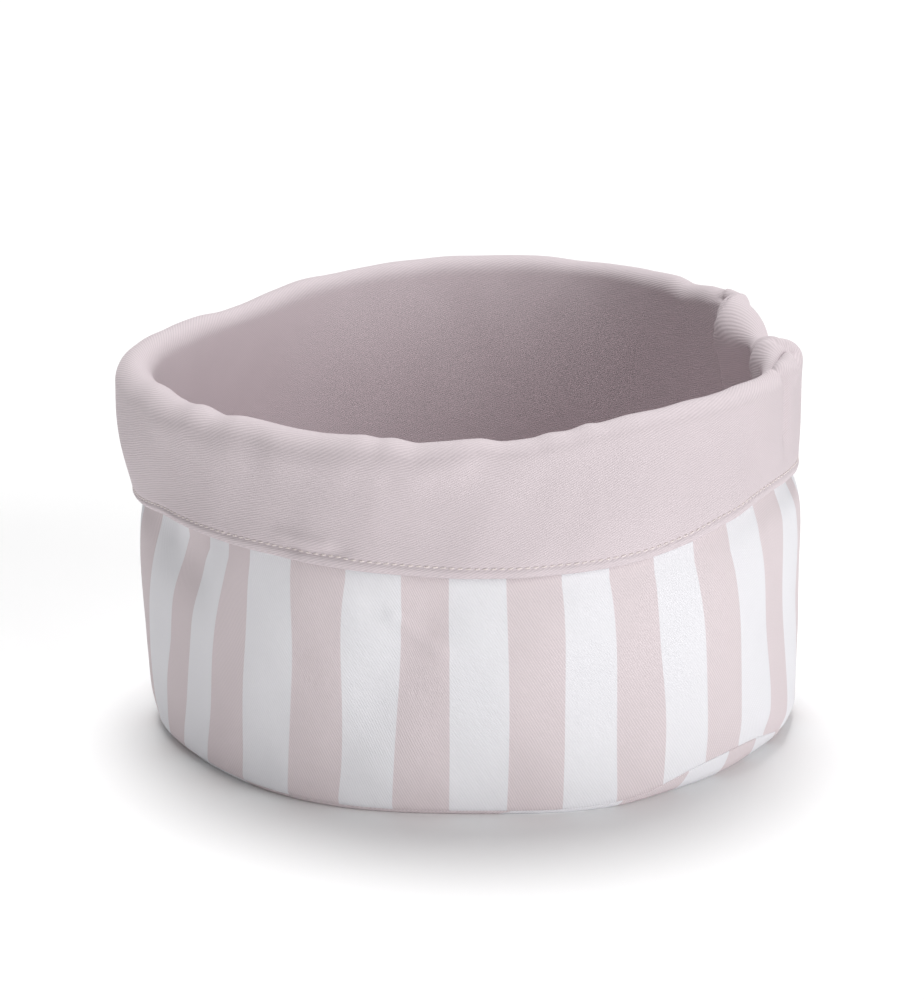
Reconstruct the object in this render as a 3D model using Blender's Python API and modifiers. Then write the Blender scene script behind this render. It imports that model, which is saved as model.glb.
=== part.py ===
"""Round cloth bread bag that stands open, with its top folded down outside as a cuff.

Four pieces of cloth are sewn together: a striped side and a striped round base make the
shell, and a plain side and a plain round base make the lining. Shell and lining meet at the
hem of the cuff. Each piece is one thin solid that follows the folds in which the cloth stands.

Lengths in the tables are millimetres and are turned to metres when points are placed.
A bearing is an angle round the bag in degrees: 0 is +X, 90 is +Y and 270 is the front.
"""

import math

import bmesh
import bpy

MM = 0.001

# Cloth
CLOTH = 1.0
LAYER_GAP = 0.3
SEAM_GAP = 0.3
HALF_BAG_CLOTH = CLOTH + LAYER_GAP / 2
CUFF_GAP = 2.0

# Heights up the side at which the sections below give a radius
BELLY_Z = 52.0
SHOULDER_DROP = 15.0
COLLAR_RISE = 22.0
CUFF_MIDDLE = 0.55

# The cloth is straight beside the base seam, and further in the base turns down to the ground
SEAM_STRAIGHT = 1.5
BASE_TURN = 5.0

# The bag stands a little unevenly, so its upright sections differ. Each row is the section at
# one bearing. Radii and heights are those of the face that shows, from the base seam (foot)
# up the side, over the roll at the rim, and down the cuff to its hem. Lean is the slope of the
# cloth at the base seam, in degrees from level. A cubic curve runs through each column right
# round the bag.
SECTION_COLUMNS = (
    "bearing", "foot_r", "foot_z", "lean", "low_r", "low_z", "belly_r", "shoulder_r",
    "rim_r", "rim_z", "roll_r", "cuff_r", "hem_r", "hem_z",
)
SECTIONS = (
    (0, 123.5, 2.5, 45, 127.5, 10, 127.5, 127.5, 120.0, 148.0, 5.5, 127.0, 126.0, 101.0),
    (17, 121.0, 2.0, 50, 124.0, 13, 126.0, 126.5, 118.5, 144.0, 5.0, 125.5, 127.0, 101.5),
    (30, 118.5, 1.5, 50, 122.0, 16, 125.0, 126.0, 121.0, 148.0, 5.0, 128.0, 128.5, 102.5),
    (45, 118.0, 1.5, 50, 121.0, 16, 124.5, 126.0, 123.5, 149.5, 5.0, 130.0, 129.5, 103.0),
    (60, 118.0, 1.5, 50, 121.0, 16, 124.0, 126.0, 127.5, 151.0, 5.0, 132.5, 130.5, 103.0),
    (90, 118.0, 1.5, 50, 121.0, 16, 123.5, 126.0, 126.0, 150.5, 5.0, 131.5, 130.0, 101.5),
    (120, 118.0, 1.5, 50, 121.0, 16, 123.5, 125.0, 121.0, 148.0, 5.0, 127.5, 128.0, 100.0),
    (142, 118.0, 1.5, 50, 121.0, 16, 124.0, 125.5, 116.5, 144.5, 5.0, 124.0, 127.0, 98.5),
    (165, 119.5, 1.5, 50, 122.5, 16, 125.5, 127.0, 119.5, 146.0, 5.5, 128.0, 128.0, 95.5),
    (190, 121.5, 1.5, 50, 124.5, 16, 127.3, 128.0, 129.0, 148.0, 6.5, 136.0, 129.5, 94.0),
    (210, 119.0, 1.5, 50, 122.0, 16, 125.0, 126.5, 126.5, 145.5, 6.0, 132.5, 129.5, 98.5),
    (240, 119.0, 1.5, 50, 121.0, 16, 123.5, 126.0, 123.5, 145.5, 5.0, 129.5, 129.5, 98.0),
    (270, 114.5, 1.5, 50, 117.5, 16, 122.0, 125.0, 123.5, 146.0, 5.0, 129.5, 129.0, 96.5),
    (298, 120.0, 2.0, 65, 121.5, 16, 123.5, 126.0, 122.5, 151.0, 5.0, 129.0, 129.0, 98.2),
    (315, 122.5, 8.5, 80, 124.0, 22, 125.0, 126.0, 121.0, 152.0, 5.0, 128.0, 128.0, 103.5),
    (330, 123.5, 8.5, 80, 126.0, 22, 126.0, 126.5, 120.0, 151.5, 5.0, 127.0, 126.5, 106.5),
    (345, 125.0, 3.0, 60, 127.5, 11, 127.3, 127.5, 119.5, 150.5, 5.5, 126.5, 126.0, 105.0),
)

# Folds, each a soft ridge or trough along a line drawn on the cloth. A point on the cloth is
# a bearing and a distance in mm up it from the base seam, which goes on over the rim and down
# the cuff. A rise is towards the lining's face: into the bag on the side, out on the cuff.
# The skew is how many times broader the ridge is on the side of smaller bearings.
FOLD_COLUMNS = ("bearing_1", "along_1", "bearing_2", "along_2", "breadth", "rise", "skew")
FOLDS = (
    # the pleat where the side is pushed into the bag at the back, up to the rim
    (27, 78, 26, 136, 5.0, 7.0, 4.5),
    (28.5, 150, 29, 156, 6.0, 5.0, 1.0),
    # the fat end of the roll at the right, and the crease across it
    (358, 118, 354, 142, 13.0, 3.5, 1.0),
    (341, 148, 340, 168, 4.0, -3.0, 1.0),
    # the hollow that the cuff presses into the side at the left
    (212, 82, 205, 88, 15.0, 4.5, 1.0),
    # slack on the striped side
    (255, 45, 262, 78, 16.0, 1.4, 1.0),
    (285, 30, 282, 75, 18.0, -1.2, 1.0),
    (60, 40, 66, 88, 18.0, 1.6, 1.0),
    (112, 30, 106, 80, 18.0, -1.6, 1.0),
    (150, 42, 157, 84, 16.0, 1.6, 1.0),
    # slack in the cuff
    (243, 190, 254, 196, 6.0, 1.0, 1.0),
    (78, 172, 92, 192, 12.0, 1.4, 1.0),
    (128, 168, 124, 194, 12.0, 1.2, 1.0),
)
MEAN_RADIUS = 125.0

# Facets round the bag, which are narrower in the sector where the rim is creased, and facets
# between one control point of the section and the next
CREASED_SECTOR = (-27.0, 45.0)
CREASED_FACETS = 21
OTHER_FACETS = 39
SIDE_STEPS = (1, 2, 2, 1, 2, 1, 2, 1, 1, 1, 1, 1, 1, 2, 2)
ROLL_STEPS = 6
BASE_STEPS = 4

PINK = (0.76, 0.67, 0.70, 1.0)
STRIPED = (0.84, 0.80, 0.82, 1.0)


def clear_scene():
    for obj in list(bpy.data.objects):
        bpy.data.objects.remove(obj, do_unlink=True)


def column_at(name, bearing):
    """The value of one column of SECTIONS at any bearing, on a closed cubic curve."""
    index = SECTION_COLUMNS.index(name)
    rows = len(SECTIONS)
    bearing %= 360.0
    after = next((i for i, row in enumerate(SECTIONS) if row[0] > bearing), rows)
    # two rows before the bearing and two after it, carried past a full turn where needed
    near = [after - 2, after - 1, after, after + 1]
    at = [SECTIONS[i % rows][0] + 360.0 * (i // rows) for i in near]
    value = [SECTIONS[i % rows][index] for i in near]
    span = at[2] - at[1]
    slope_1 = (value[2] - value[0]) / (at[2] - at[0]) * span
    slope_2 = (value[3] - value[1]) / (at[3] - at[1]) * span
    t = (bearing - at[1]) / span
    return (
        value[1] * (2 * t**3 - 3 * t**2 + 1)
        + slope_1 * (t**3 - 2 * t**2 + t)
        + value[2] * (3 * t**2 - 2 * t**3)
        + slope_2 * (t**3 - t**2)
    )


def foot(bearing, way):
    """Where the side (way 1) or the base (way -1) ends at the seam, and the cloth's slope."""
    lean = math.radians(column_at("lean", bearing))
    slope = (math.cos(lean), math.sin(lean))
    r = column_at("foot_r", bearing) - HALF_BAG_CLOTH + way * slope[0] * SEAM_GAP / 2
    z = column_at("foot_z", bearing) + HALF_BAG_CLOTH + way * slope[1] * SEAM_GAP / 2
    return (r, z), slope


def section(bearing):
    """Control points (radius, height) of the middle of the doubled cloth, seam to hem."""
    at = {name: column_at(name, bearing) for name in SECTION_COLUMNS[1:]}
    face = HALF_BAG_CLOTH
    hem = (at["hem_r"] - face, at["hem_z"])
    collar_r = hem[0] - 2 * face - CUFF_GAP
    roll_z = at["rim_z"] - face - at["roll_r"]
    inner_r = at["rim_r"] - at["roll_r"]
    share = COLLAR_RISE / (roll_z - at["hem_z"])
    start, slope = foot(bearing, 1)
    points = [
        start,
        (start[0] + slope[0] * SEAM_STRAIGHT, start[1] + slope[1] * SEAM_STRAIGHT),
        (at["low_r"] - face, at["low_z"]),
        (at["belly_r"] - face, BELLY_Z),
        (at["shoulder_r"] - face, at["hem_z"] - SHOULDER_DROP),
        (collar_r, at["hem_z"] + 1.0),
        (collar_r + (inner_r - collar_r) * share, at["hem_z"] + COLLAR_RISE),
    ]
    for step in range(ROLL_STEPS + 1):
        turn = math.pi * (1 - step / ROLL_STEPS)
        points.append(
            (at["rim_r"] + at["roll_r"] * math.cos(turn), roll_z + at["roll_r"] * math.sin(turn))
        )
    cuff_z = at["hem_z"] + (roll_z - at["hem_z"]) * CUFF_MIDDLE
    points += [(at["cuff_r"] - face, cuff_z), hem]
    return points


def slopes(points, first):
    """The direction of a smooth line at each of its points, the first one being given."""
    result = [first]
    for i in range(1, len(points)):
        back, ahead = points[i - 1], points[min(i + 1, len(points) - 1)]
        length = math.dist(back, ahead)
        result.append(((ahead[0] - back[0]) / length, (ahead[1] - back[1]) / length))
    return result


def cubic(start, slope_1, end, slope_2, t):
    """A point on the cubic curve that leaves start and reaches end with the given slopes."""
    chord = math.dist(start, end)
    return tuple(
        s * (2 * t**3 - 3 * t**2 + 1)
        + a * chord * (t**3 - 2 * t**2 + t)
        + e * (3 * t**2 - 2 * t**3)
        + b * chord * (t**3 - t**2)
        for s, a, e, b in zip(start, slope_1, end, slope_2)
    )


def section_rows(bearing):
    """The whole section as rows (radius, height, direction of the lining's face, mm along)."""
    control = section(bearing)
    slope = slopes(control, foot(bearing, 1)[1])
    line = []
    for i, steps in enumerate(SIDE_STEPS):
        ends = control[i], slope[i], control[i + 1], slope[i + 1]
        line += [cubic(*ends, k / steps) for k in range(steps)]
    line.append(control[-1])
    rows = []
    along = 0.0
    for i, (point, way) in enumerate(zip(line, slopes(line, slope[0]))):
        along += math.dist(line[i - 1], point) if i else 0.0
        rows.append((point, (-way[1], way[0]), along))
    return rows


def fold_rise(bearing, along):
    """How far the folds move the cloth towards the lining's face at a point on it."""
    total = 0.0
    for fold in FOLDS:
        row = dict(zip(FOLD_COLUMNS, fold))
        arc = math.radians(1.0) * MEAN_RADIUS
        turn = (bearing - row["bearing_1"] + 180.0) % 360.0 - 180.0
        x, y = turn * arc, along - row["along_1"]
        run = ((row["bearing_2"] - row["bearing_1"] + 180.0) % 360.0 - 180.0) * arc
        climb = row["along_2"] - row["along_1"]
        share = max(0.0, min(1.0, (x * run + y * climb) / (run**2 + climb**2)))
        side, end = x - share * run, y - share * climb
        broad = row["breadth"] * (row["skew"] if side < 0 else 1.0)
        total += row["rise"] * math.exp(-((side / broad) ** 2) - (end / max(row["breadth"], 10.0)) ** 2)
    return total


def bearings():
    """Bearings of the facets, closer together in the sector where the rim is creased."""
    start, end = CREASED_SECTOR
    creased = (end - start) / CREASED_FACETS
    other = (360.0 - (end - start)) / OTHER_FACETS
    near = [start + creased * k for k in range(CREASED_FACETS)]
    return near + [end + other * k for k in range(OTHER_FACETS)]


def base_point(bearing, station):
    """A point (radius, height) on the base: flat in the middle, turned up to the seam."""
    edge, slope = foot(bearing, -1)
    if station == 0:
        return 0.0, HALF_BAG_CLOTH
    if station == BASE_STEPS + 1:
        return edge
    top = (edge[0] - slope[0] * SEAM_STRAIGHT, edge[1] - slope[1] * SEAM_STRAIGHT)
    corner_r = top[0] - (top[1] - HALF_BAG_CLOTH) * slope[0] / slope[1]
    flat_r = corner_r - BASE_TURN
    t = (station - 1) / (BASE_STEPS - 1)
    r = flat_r * (1 - t) ** 2 + 2 * corner_r * t * (1 - t) + top[0] * t**2
    z = HALF_BAG_CLOTH * (1 - t**2) + top[1] * t**2
    return r, z


def side_guide():
    """Points (x, y, z) in mm of the doubled cloth's middle: a row for each step up the side."""
    columns = []
    for bearing in bearings():
        column = []
        turn = math.radians(bearing)
        for (r, z), face, along in section_rows(bearing):
            rise = fold_rise(bearing, along)
            r, z = r + face[0] * rise, z + face[1] * rise
            column.append((r * math.cos(turn), r * math.sin(turn), z))
        columns.append(column)
    return columns


def base_guide():
    columns = []
    for bearing in bearings():
        turn = math.radians(bearing)
        places = [base_point(bearing, station) for station in range(BASE_STEPS + 2)]
        columns.append([(r * math.cos(turn), r * math.sin(turn), z) for r, z in places])
    return columns


def roll_up(name, columns):
    """A grid whose columns are carried round the bag to their places and joined into a tube."""
    mesh = bpy.data.meshes.new(name)
    bm = bmesh.new()
    across, up = len(columns), len(columns[0]) - 1
    bmesh.ops.create_grid(bm, x_segments=across, y_segments=up, size=1.0)
    for vert in bm.verts:
        column = round((vert.co.x + 1) / 2 * across) % across
        row = round((vert.co.y + 1) / 2 * up)
        vert.co = [value * MM for value in columns[column][row]]
    bmesh.ops.remove_doubles(bm, verts=bm.verts, dist=1e-6)
    bm.to_mesh(mesh)
    bm.free()
    mesh.shade_smooth()
    return mesh


def cloth_material(name, colour):
    material = bpy.data.materials.new(name)
    material.use_nodes = True
    shader = material.node_tree.nodes["Principled BSDF"]
    shader.inputs["Base Color"].default_value = colour
    shader.inputs["Roughness"].default_value = 0.9
    shader.inputs["Metallic"].default_value = 0.0
    return material


def sheet(name, mesh, side, material, collection):
    """One piece of cloth on one side of the guide: -1 is the lining's side, 1 the shell's."""
    obj = bpy.data.objects.new(name, mesh.copy())
    obj.data.materials.append(material)
    collection.objects.link(obj)
    thick = obj.modifiers.new("Cloth", "SOLIDIFY")
    thick.thickness = CLOTH * MM
    thick.offset = side * (1.0 + LAYER_GAP / CLOTH)
    thick.use_even_offset = True
    thick.use_quality_normals = True
    return obj


def main():
    clear_scene()
    bag = bpy.data.collections.new("Bread bag")
    bpy.context.scene.collection.children.link(bag)
    side = roll_up("side guide", side_guide())
    base = roll_up("base guide", base_guide())
    striped = cloth_material("Striped cotton", STRIPED)
    plain = cloth_material("Plain cotton", PINK)
    sheet("shell_side", side, 1, striped, bag)
    sheet("lining_side", side, -1, plain, bag)
    sheet("shell_base", base, 1, striped, bag)
    sheet("lining_base", base, -1, plain, bag)


main()
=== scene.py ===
# %% [markdown]
# # A lined cloth bread bag with its top folded down
#
# The real bag is sewn from four pieces of cotton twill: a striped side and a striped round base
# make the shell, and a plain pink side and base make the lining. The two are joined at the top
# edge, and the top is folded down outside, so the lining shows as a cuff. This lesson drapes
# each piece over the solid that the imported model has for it, adds the sewing, and gives the
# cloth its weave and stripes.

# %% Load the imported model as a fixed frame
import math

import bmesh
import bpy
import numpy as np
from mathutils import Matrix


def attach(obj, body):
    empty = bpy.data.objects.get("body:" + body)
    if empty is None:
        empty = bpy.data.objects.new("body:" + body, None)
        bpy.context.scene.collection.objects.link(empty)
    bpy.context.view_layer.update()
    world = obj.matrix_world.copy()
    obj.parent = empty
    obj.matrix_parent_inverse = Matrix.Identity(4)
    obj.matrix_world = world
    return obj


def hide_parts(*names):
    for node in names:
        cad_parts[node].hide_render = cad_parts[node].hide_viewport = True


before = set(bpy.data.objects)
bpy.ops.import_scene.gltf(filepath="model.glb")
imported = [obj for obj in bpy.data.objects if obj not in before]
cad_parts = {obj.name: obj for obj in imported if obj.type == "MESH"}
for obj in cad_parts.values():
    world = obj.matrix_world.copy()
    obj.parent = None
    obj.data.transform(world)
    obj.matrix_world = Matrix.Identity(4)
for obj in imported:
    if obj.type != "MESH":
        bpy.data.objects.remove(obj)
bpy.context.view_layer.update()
MM = 0.001

# %% [markdown]
# ## The camera
#
# The picture was taken from about 1.5 m away, a little above the bag, with a long lens, so the
# far rim looks hardly smaller than the near one. The lens's angle and height were worked out
# from the ellipses of the rim and the base. We put the camera there first, so that every later
# step can be looked at from the same place.

# %% Place the camera
CAMERA_PLACE = (-3.1, -1424.7, 539.2)
CAMERA_PITCH = 17.68
CAMERA_LENS = 138.8
SENSOR_WIDTH = 36.0

camera_data = bpy.data.cameras.new("studio_camera")
camera_data.lens = CAMERA_LENS
camera_data.sensor_width = SENSOR_WIDTH
camera = bpy.data.objects.new("studio_camera", camera_data)
camera.location = [value * MM for value in CAMERA_PLACE]
camera.rotation_euler = (math.radians(90.0 - CAMERA_PITCH), 0.0, 0.0)
bpy.context.scene.collection.objects.link(camera)
bpy.context.scene.camera = camera
print("camera at", tuple(round(value, 4) for value in camera.location))

# %% [markdown]
# ## The shape of the standing cloth
#
# Cloth that is folded and stands by itself is never a true cylinder. The bag is described by
# upright sections at a few bearings round it, each a smooth line from the base seam up the
# side, over the roll at the rim and down the cuff. These are the model's own numbers, so that
# the dressed cloth lies where the solids are. Lengths are millimetres.

# %% The sections round the bag
CLOTH = 1.0
LAYER_GAP = 0.3
SEAM_GAP = 0.3
HALF_BAG_CLOTH = CLOTH + LAYER_GAP / 2
CUFF_GAP = 2.0
BELLY_Z = 52.0
SHOULDER_DROP = 15.0
COLLAR_FOOT = 1.0
COLLAR_RISE = 22.0
CUFF_MIDDLE = 0.55
SEAM_STRAIGHT = 1.5
BASE_TURN = 5.0
ROLL_STEPS = 6
MEAN_RADIUS = 125.0
ARC = math.radians(1.0) * MEAN_RADIUS

SECTION_COLUMNS = (
    "bearing", "foot_r", "foot_z", "lean", "low_r", "low_z", "belly_r", "shoulder_r",
    "rim_r", "rim_z", "roll_r", "cuff_r", "hem_r", "hem_z",
)
SECTIONS = (
    (0, 123.5, 2.5, 45, 127.5, 10, 127.5, 127.5, 120.0, 148.0, 5.5, 127.0, 126.0, 101.0),
    (17, 121.0, 2.0, 50, 124.0, 13, 126.0, 126.5, 118.5, 144.0, 5.0, 125.5, 127.0, 101.5),
    (30, 118.5, 1.5, 50, 122.0, 16, 125.0, 126.0, 121.0, 148.0, 5.0, 128.0, 128.5, 102.5),
    (45, 118.0, 1.5, 50, 121.0, 16, 124.5, 126.0, 123.5, 149.5, 5.0, 130.0, 129.5, 103.0),
    (60, 118.0, 1.5, 50, 121.0, 16, 124.0, 126.0, 127.5, 151.0, 5.0, 132.5, 130.5, 103.0),
    (90, 118.0, 1.5, 50, 121.0, 16, 123.5, 126.0, 126.0, 150.5, 5.0, 131.5, 130.0, 101.5),
    (120, 118.0, 1.5, 50, 121.0, 16, 123.5, 125.0, 121.0, 148.0, 5.0, 127.5, 128.0, 100.0),
    (142, 118.0, 1.5, 50, 121.0, 16, 124.0, 125.5, 116.5, 144.5, 5.0, 124.0, 127.0, 98.5),
    (165, 119.5, 1.5, 50, 122.5, 16, 125.5, 127.0, 119.5, 146.0, 5.5, 128.0, 128.0, 95.5),
    (190, 121.5, 1.5, 50, 124.5, 16, 127.3, 128.0, 129.0, 148.0, 6.5, 136.0, 129.5, 94.0),
    (210, 119.0, 1.5, 50, 122.0, 16, 125.0, 126.5, 126.5, 145.5, 6.0, 132.5, 129.5, 98.5),
    (240, 119.0, 1.5, 50, 121.0, 16, 123.5, 126.0, 123.5, 145.5, 5.0, 129.5, 129.5, 98.0),
    (270, 114.5, 1.5, 50, 117.5, 16, 122.0, 125.0, 123.5, 146.0, 5.0, 129.5, 129.0, 96.5),
    (298, 120.0, 2.0, 65, 121.5, 16, 123.5, 126.0, 122.5, 151.0, 5.0, 129.0, 129.0, 98.2),
    (315, 122.5, 8.5, 80, 124.0, 22, 125.0, 126.0, 121.0, 152.0, 5.0, 128.0, 128.0, 103.5),
    (330, 123.5, 8.5, 80, 126.0, 22, 126.0, 126.5, 120.0, 151.5, 5.0, 127.0, 126.5, 106.5),
    (345, 125.0, 3.0, 60, 127.5, 11, 127.3, 127.5, 119.5, 150.5, 5.5, 126.5, 126.0, 105.0),
)


def column_at(name, bearing):
    """One column of SECTIONS at any bearings, on a closed cubic curve through the rows."""
    index = SECTION_COLUMNS.index(name)
    rows = len(SECTIONS)
    known = np.array([row[0] for row in SECTIONS], float)
    values = np.array([row[index] for row in SECTIONS], float)
    bearing = np.asarray(bearing, float) % 360.0
    after = np.searchsorted(known, bearing, side="right")
    # two rows before each bearing and two after it, carried past a full turn where needed
    near = [after + step for step in (-2, -1, 0, 1)]
    at = [known[i % rows] + 360.0 * (i // rows) for i in near]
    value = [values[i % rows] for i in near]
    span = at[2] - at[1]
    slope_1 = (value[2] - value[0]) / (at[2] - at[0]) * span
    slope_2 = (value[3] - value[1]) / (at[3] - at[1]) * span
    t = (bearing - at[1]) / span
    return (
        value[1] * (2 * t**3 - 3 * t**2 + 1)
        + slope_1 * (t**3 - 2 * t**2 + t)
        + value[2] * (3 * t**2 - 2 * t**3)
        + slope_2 * (t**3 - t**2)
    )


print("rim height at the front", round(float(column_at("rim_z", 270.0)), 1), "mm")

# %% [markdown]
# ## From sections to one smooth surface
#
# A section's control points are joined by cubic curves. Working with whole arrays, one entry
# for each bearing, keeps this fast enough for a fine surface. The fine surface is why the
# scene makes its own cloth and doesn't use the model's facets. The rim gets small waves that
# the model doesn't have, because cloth never turns over in one even roll.

# %% Waves of the rim, where the cloth turns over
RIM_ROUNDING = 0.8
# each row: bearing, rise
RIM_WAVES = (
    (-9, 0.3), (-3, 0.9), (4, -0.6), (10, -0.4), (14, -0.4), (18, -1.0), (20, -0.6), (22, 0.8),
    (24, 2.4), (26, 3.4), (29, 3.6), (33, 4.3), (36, 2.8), (38, 2.6), (41, 1.2), (44, -0.1),
    (47, 1.1), (50, 0.8), (54, 0.0), (160, 0.0),
    (200, -0.8), (205, 0.5), (210, -0.6), (213, -1.0), (216, -0.3), (219, 1.0), (224, -0.4),
    (228, 0.8), (233, 0.2), (240, -0.5), (244, -0.7), (250, 0.0), (252, 0.6), (255, 0.0),
    (257, 0.8), (261, -1.0), (265, 0.3), (269, 1.2), (272, 1.6), (275, -0.3), (279, -1.0),
    (281, -1.1), (283, 0.0), (287, -0.6), (290, 0.8), (292, -0.1), (297, 0.6), (302, 0.4),
    (307, -0.2), (312, -0.6), (318, -1.1), (321, -1.4), (325, -0.9), (330, -1.6), (335, -1.8),
    (341, -1.8), (347, -0.5),
)


def rim_wave(bearing):
    """How far the roll lies above its smooth line at these bearings, rounded off a little."""
    known = [row[0] for row in RIM_WAVES]
    rises = [row[1] for row in RIM_WAVES]
    offsets = (-RIM_ROUNDING, 0.0, RIM_ROUNDING)
    around = [np.interp(bearing + off, known, rises, period=360.0) for off in offsets]
    return around[0] * 0.25 + around[1] * 0.5 + around[2] * 0.25


# %% The smooth line of a section
def foot(bearing, way):
    """Where the side (way 1) or the base (way -1) ends at the seam, and the cloth's slope."""
    lean = np.radians(column_at("lean", bearing))
    slope = np.array([np.cos(lean), np.sin(lean)])
    r = column_at("foot_r", bearing) - HALF_BAG_CLOTH + way * slope[0] * SEAM_GAP / 2
    z = column_at("foot_z", bearing) + HALF_BAG_CLOTH + way * slope[1] * SEAM_GAP / 2
    return np.array([r, z]), slope


def section(bearing):
    """Control points (radius, height) of the middle of the doubled cloth, seam to hem."""
    at = {name: column_at(name, bearing) for name in SECTION_COLUMNS[1:]}
    face = HALF_BAG_CLOTH
    hem_r = at["hem_r"] - face
    collar_r = hem_r - 2 * face - CUFF_GAP
    roll_z = at["rim_z"] + rim_wave(bearing) - face - at["roll_r"]
    inner_r = at["rim_r"] - at["roll_r"]
    share = COLLAR_RISE / (roll_z - at["hem_z"])
    start, slope = foot(bearing, 1)
    points = [
        start,
        start + slope * SEAM_STRAIGHT,
        (at["low_r"] - face, at["low_z"]),
        (at["belly_r"] - face, np.full_like(hem_r, BELLY_Z)),
        (at["shoulder_r"] - face, at["hem_z"] - SHOULDER_DROP),
        (collar_r, at["hem_z"] + COLLAR_FOOT),
        (collar_r + (inner_r - collar_r) * share, at["hem_z"] + COLLAR_RISE),
    ]
    for step in range(ROLL_STEPS + 1):
        turn = math.pi * (1 - step / ROLL_STEPS)
        roll_r = at["roll_r"]
        points.append((at["rim_r"] + roll_r * math.cos(turn), roll_z + roll_r * math.sin(turn)))
    cuff_z = at["hem_z"] + (roll_z - at["hem_z"]) * CUFF_MIDDLE
    points += [(at["cuff_r"] - face, cuff_z), (hem_r, at["hem_z"])]
    return np.array([np.array(point) for point in points])


def slopes(points, first):
    """The direction of a smooth line at each of its points, the first one being given."""
    way = np.concatenate([points[2:], points[-1:]]) - points[:-1]
    way /= np.linalg.norm(way, axis=1, keepdims=True)
    return np.concatenate([first[None], way])


def cubic(start, slope_1, end, slope_2, t):
    """A point on the cubic curve that leaves start and reaches end with the given slopes."""
    chord = np.linalg.norm(end - start, axis=0)
    return (
        start * (2 * t**3 - 3 * t**2 + 1)
        + slope_1 * chord * (t**3 - 2 * t**2 + t)
        + end * (3 * t**2 - 2 * t**3)
        + slope_2 * chord * (t**3 - t**2)
    )


def section_line(bearing, steps, first_t=0.0, last_t=1.0, crowding=1.0):
    """The section as a fine line: its points, the lining's direction, and mm along.

    Steps gives the pieces of each span. First_t and last_t cut the first and the last span
    short, and crowding above 1 brings the last span's points closer together at its end."""
    control = section(bearing)
    slope = slopes(control, foot(bearing, 1)[1])
    line = []
    for i, count in enumerate(steps):
        places = np.arange(count) / count
        if i == 0:
            places = first_t + (1.0 - first_t) * places
        if i == len(steps) - 1:
            places = last_t * (1.0 - (1.0 - np.arange(count + 1) / count) ** crowding)
        line += [cubic(control[i], slope[i], control[i + 1], slope[i + 1], t) for t in places]
    line = np.array(line)
    way = slopes(line, slope[0])
    step = np.linalg.norm(np.diff(line, axis=0), axis=1)
    start = np.linalg.norm(line[:1] - control[:1], axis=1)
    along = np.concatenate([start, start + np.cumsum(step, axis=0)])
    return line, np.stack([-way[:, 1], way[:, 0]], axis=1), along


# %% [markdown]
# ## Folds
#
# The folds are what makes cloth look like cloth. Each is a soft ridge or trough along a line
# drawn on it. The first table is the model's own, for the folds that change its outline. The
# second has the small ones, placed where they show in the picture: dents, and puckers at
# the hem. Sharper creases follow bent lines, and the rim has small waves of its own.

# %% Folds in the cloth
FOLD_TAIL = 10.0
FOLD_COLUMNS = ("bearing_1", "along_1", "bearing_2", "along_2", "breadth", "rise", "skew")
FOLDS = (
    # the pleat where the side is pushed into the bag at the back, up to the rim
    (27, 78, 26, 136, 5.0, 7.0, 4.5),
    (28.5, 150, 29, 156, 6.0, 5.0, 1.0),
    # the fat end of the roll at the right, and the crease across it
    (358, 118, 354, 142, 13.0, 3.5, 1.0),
    (341, 148, 340, 168, 4.0, -3.0, 1.0),
    # the hollow that the cuff presses into the side at the left
    (212, 82, 205, 88, 15.0, 4.5, 1.0),
    # slack on the striped side
    (255, 45, 262, 78, 16.0, 1.4, 1.0),
    (285, 30, 282, 75, 18.0, -1.2, 1.0),
    (60, 40, 66, 88, 18.0, 1.6, 1.0),
    (112, 30, 106, 80, 18.0, -1.6, 1.0),
    (150, 42, 157, 84, 16.0, 1.6, 1.0),
    # slack in the cuff
    (243, 190, 254, 196, 6.0, 1.0, 1.0),
    (78, 172, 92, 192, 12.0, 1.4, 1.0),
    (128, 168, 124, 194, 12.0, 1.2, 1.0),
)


def fold_rise(folds, bearing, along):
    """How far the folds move the cloth towards the lining's face at points on it."""
    total = np.zeros(np.broadcast(bearing, along).shape)
    for fold in folds:
        row = dict(zip(FOLD_COLUMNS, fold))
        x = ((bearing - row["bearing_1"] + 180.0) % 360.0 - 180.0) * ARC
        y = along - row["along_1"]
        run = ((row["bearing_2"] - row["bearing_1"] + 180.0) % 360.0 - 180.0) * ARC
        climb = row["along_2"] - row["along_1"]
        share = np.clip((x * run + y * climb) / (run**2 + climb**2), 0.0, 1.0)
        side, end = x - share * run, y - share * climb
        broad = row["breadth"] * np.where(side < 0, row["skew"], 1.0)
        tail = max(row["breadth"], FOLD_TAIL) if folds is FOLDS else row["breadth"]
        total += row["rise"] * np.exp(-((side / broad) ** 2) - (end / tail) ** 2)
    return total


FINE_FOLDS = (
    # the soft crease under the roll at the left of the front, and the cuff that hangs in below it
    (212, 153, 228, 157, 9.0, 1.8, 1.0),
    (238, 155, 268, 155, 7.0, 1.6, 1.0),
    (212, 182, 262, 184, 14.0, -1.2, 1.0),
    # at the right of the front the cuff stands out a little at its foot
    (282, 162, 322, 162, 12.0, -0.8, 1.0),
    (280, 192, 318, 190, 12.0, 0.9, 1.0),
    # the pucker above the stitching at the left: a ridge with a hollow under it
    (238, 185, 246, 186, 2.4, 0.6, 1.0),
    (240, 189, 249, 189, 2.2, -0.7, 1.0),
    # the dent in the side at the left of the middle
    (257, 77, 265, 65, 3.2, -0.9, 1.0),
    (254, 80, 262, 74, 6.0, 0.8, 1.0),
)

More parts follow.
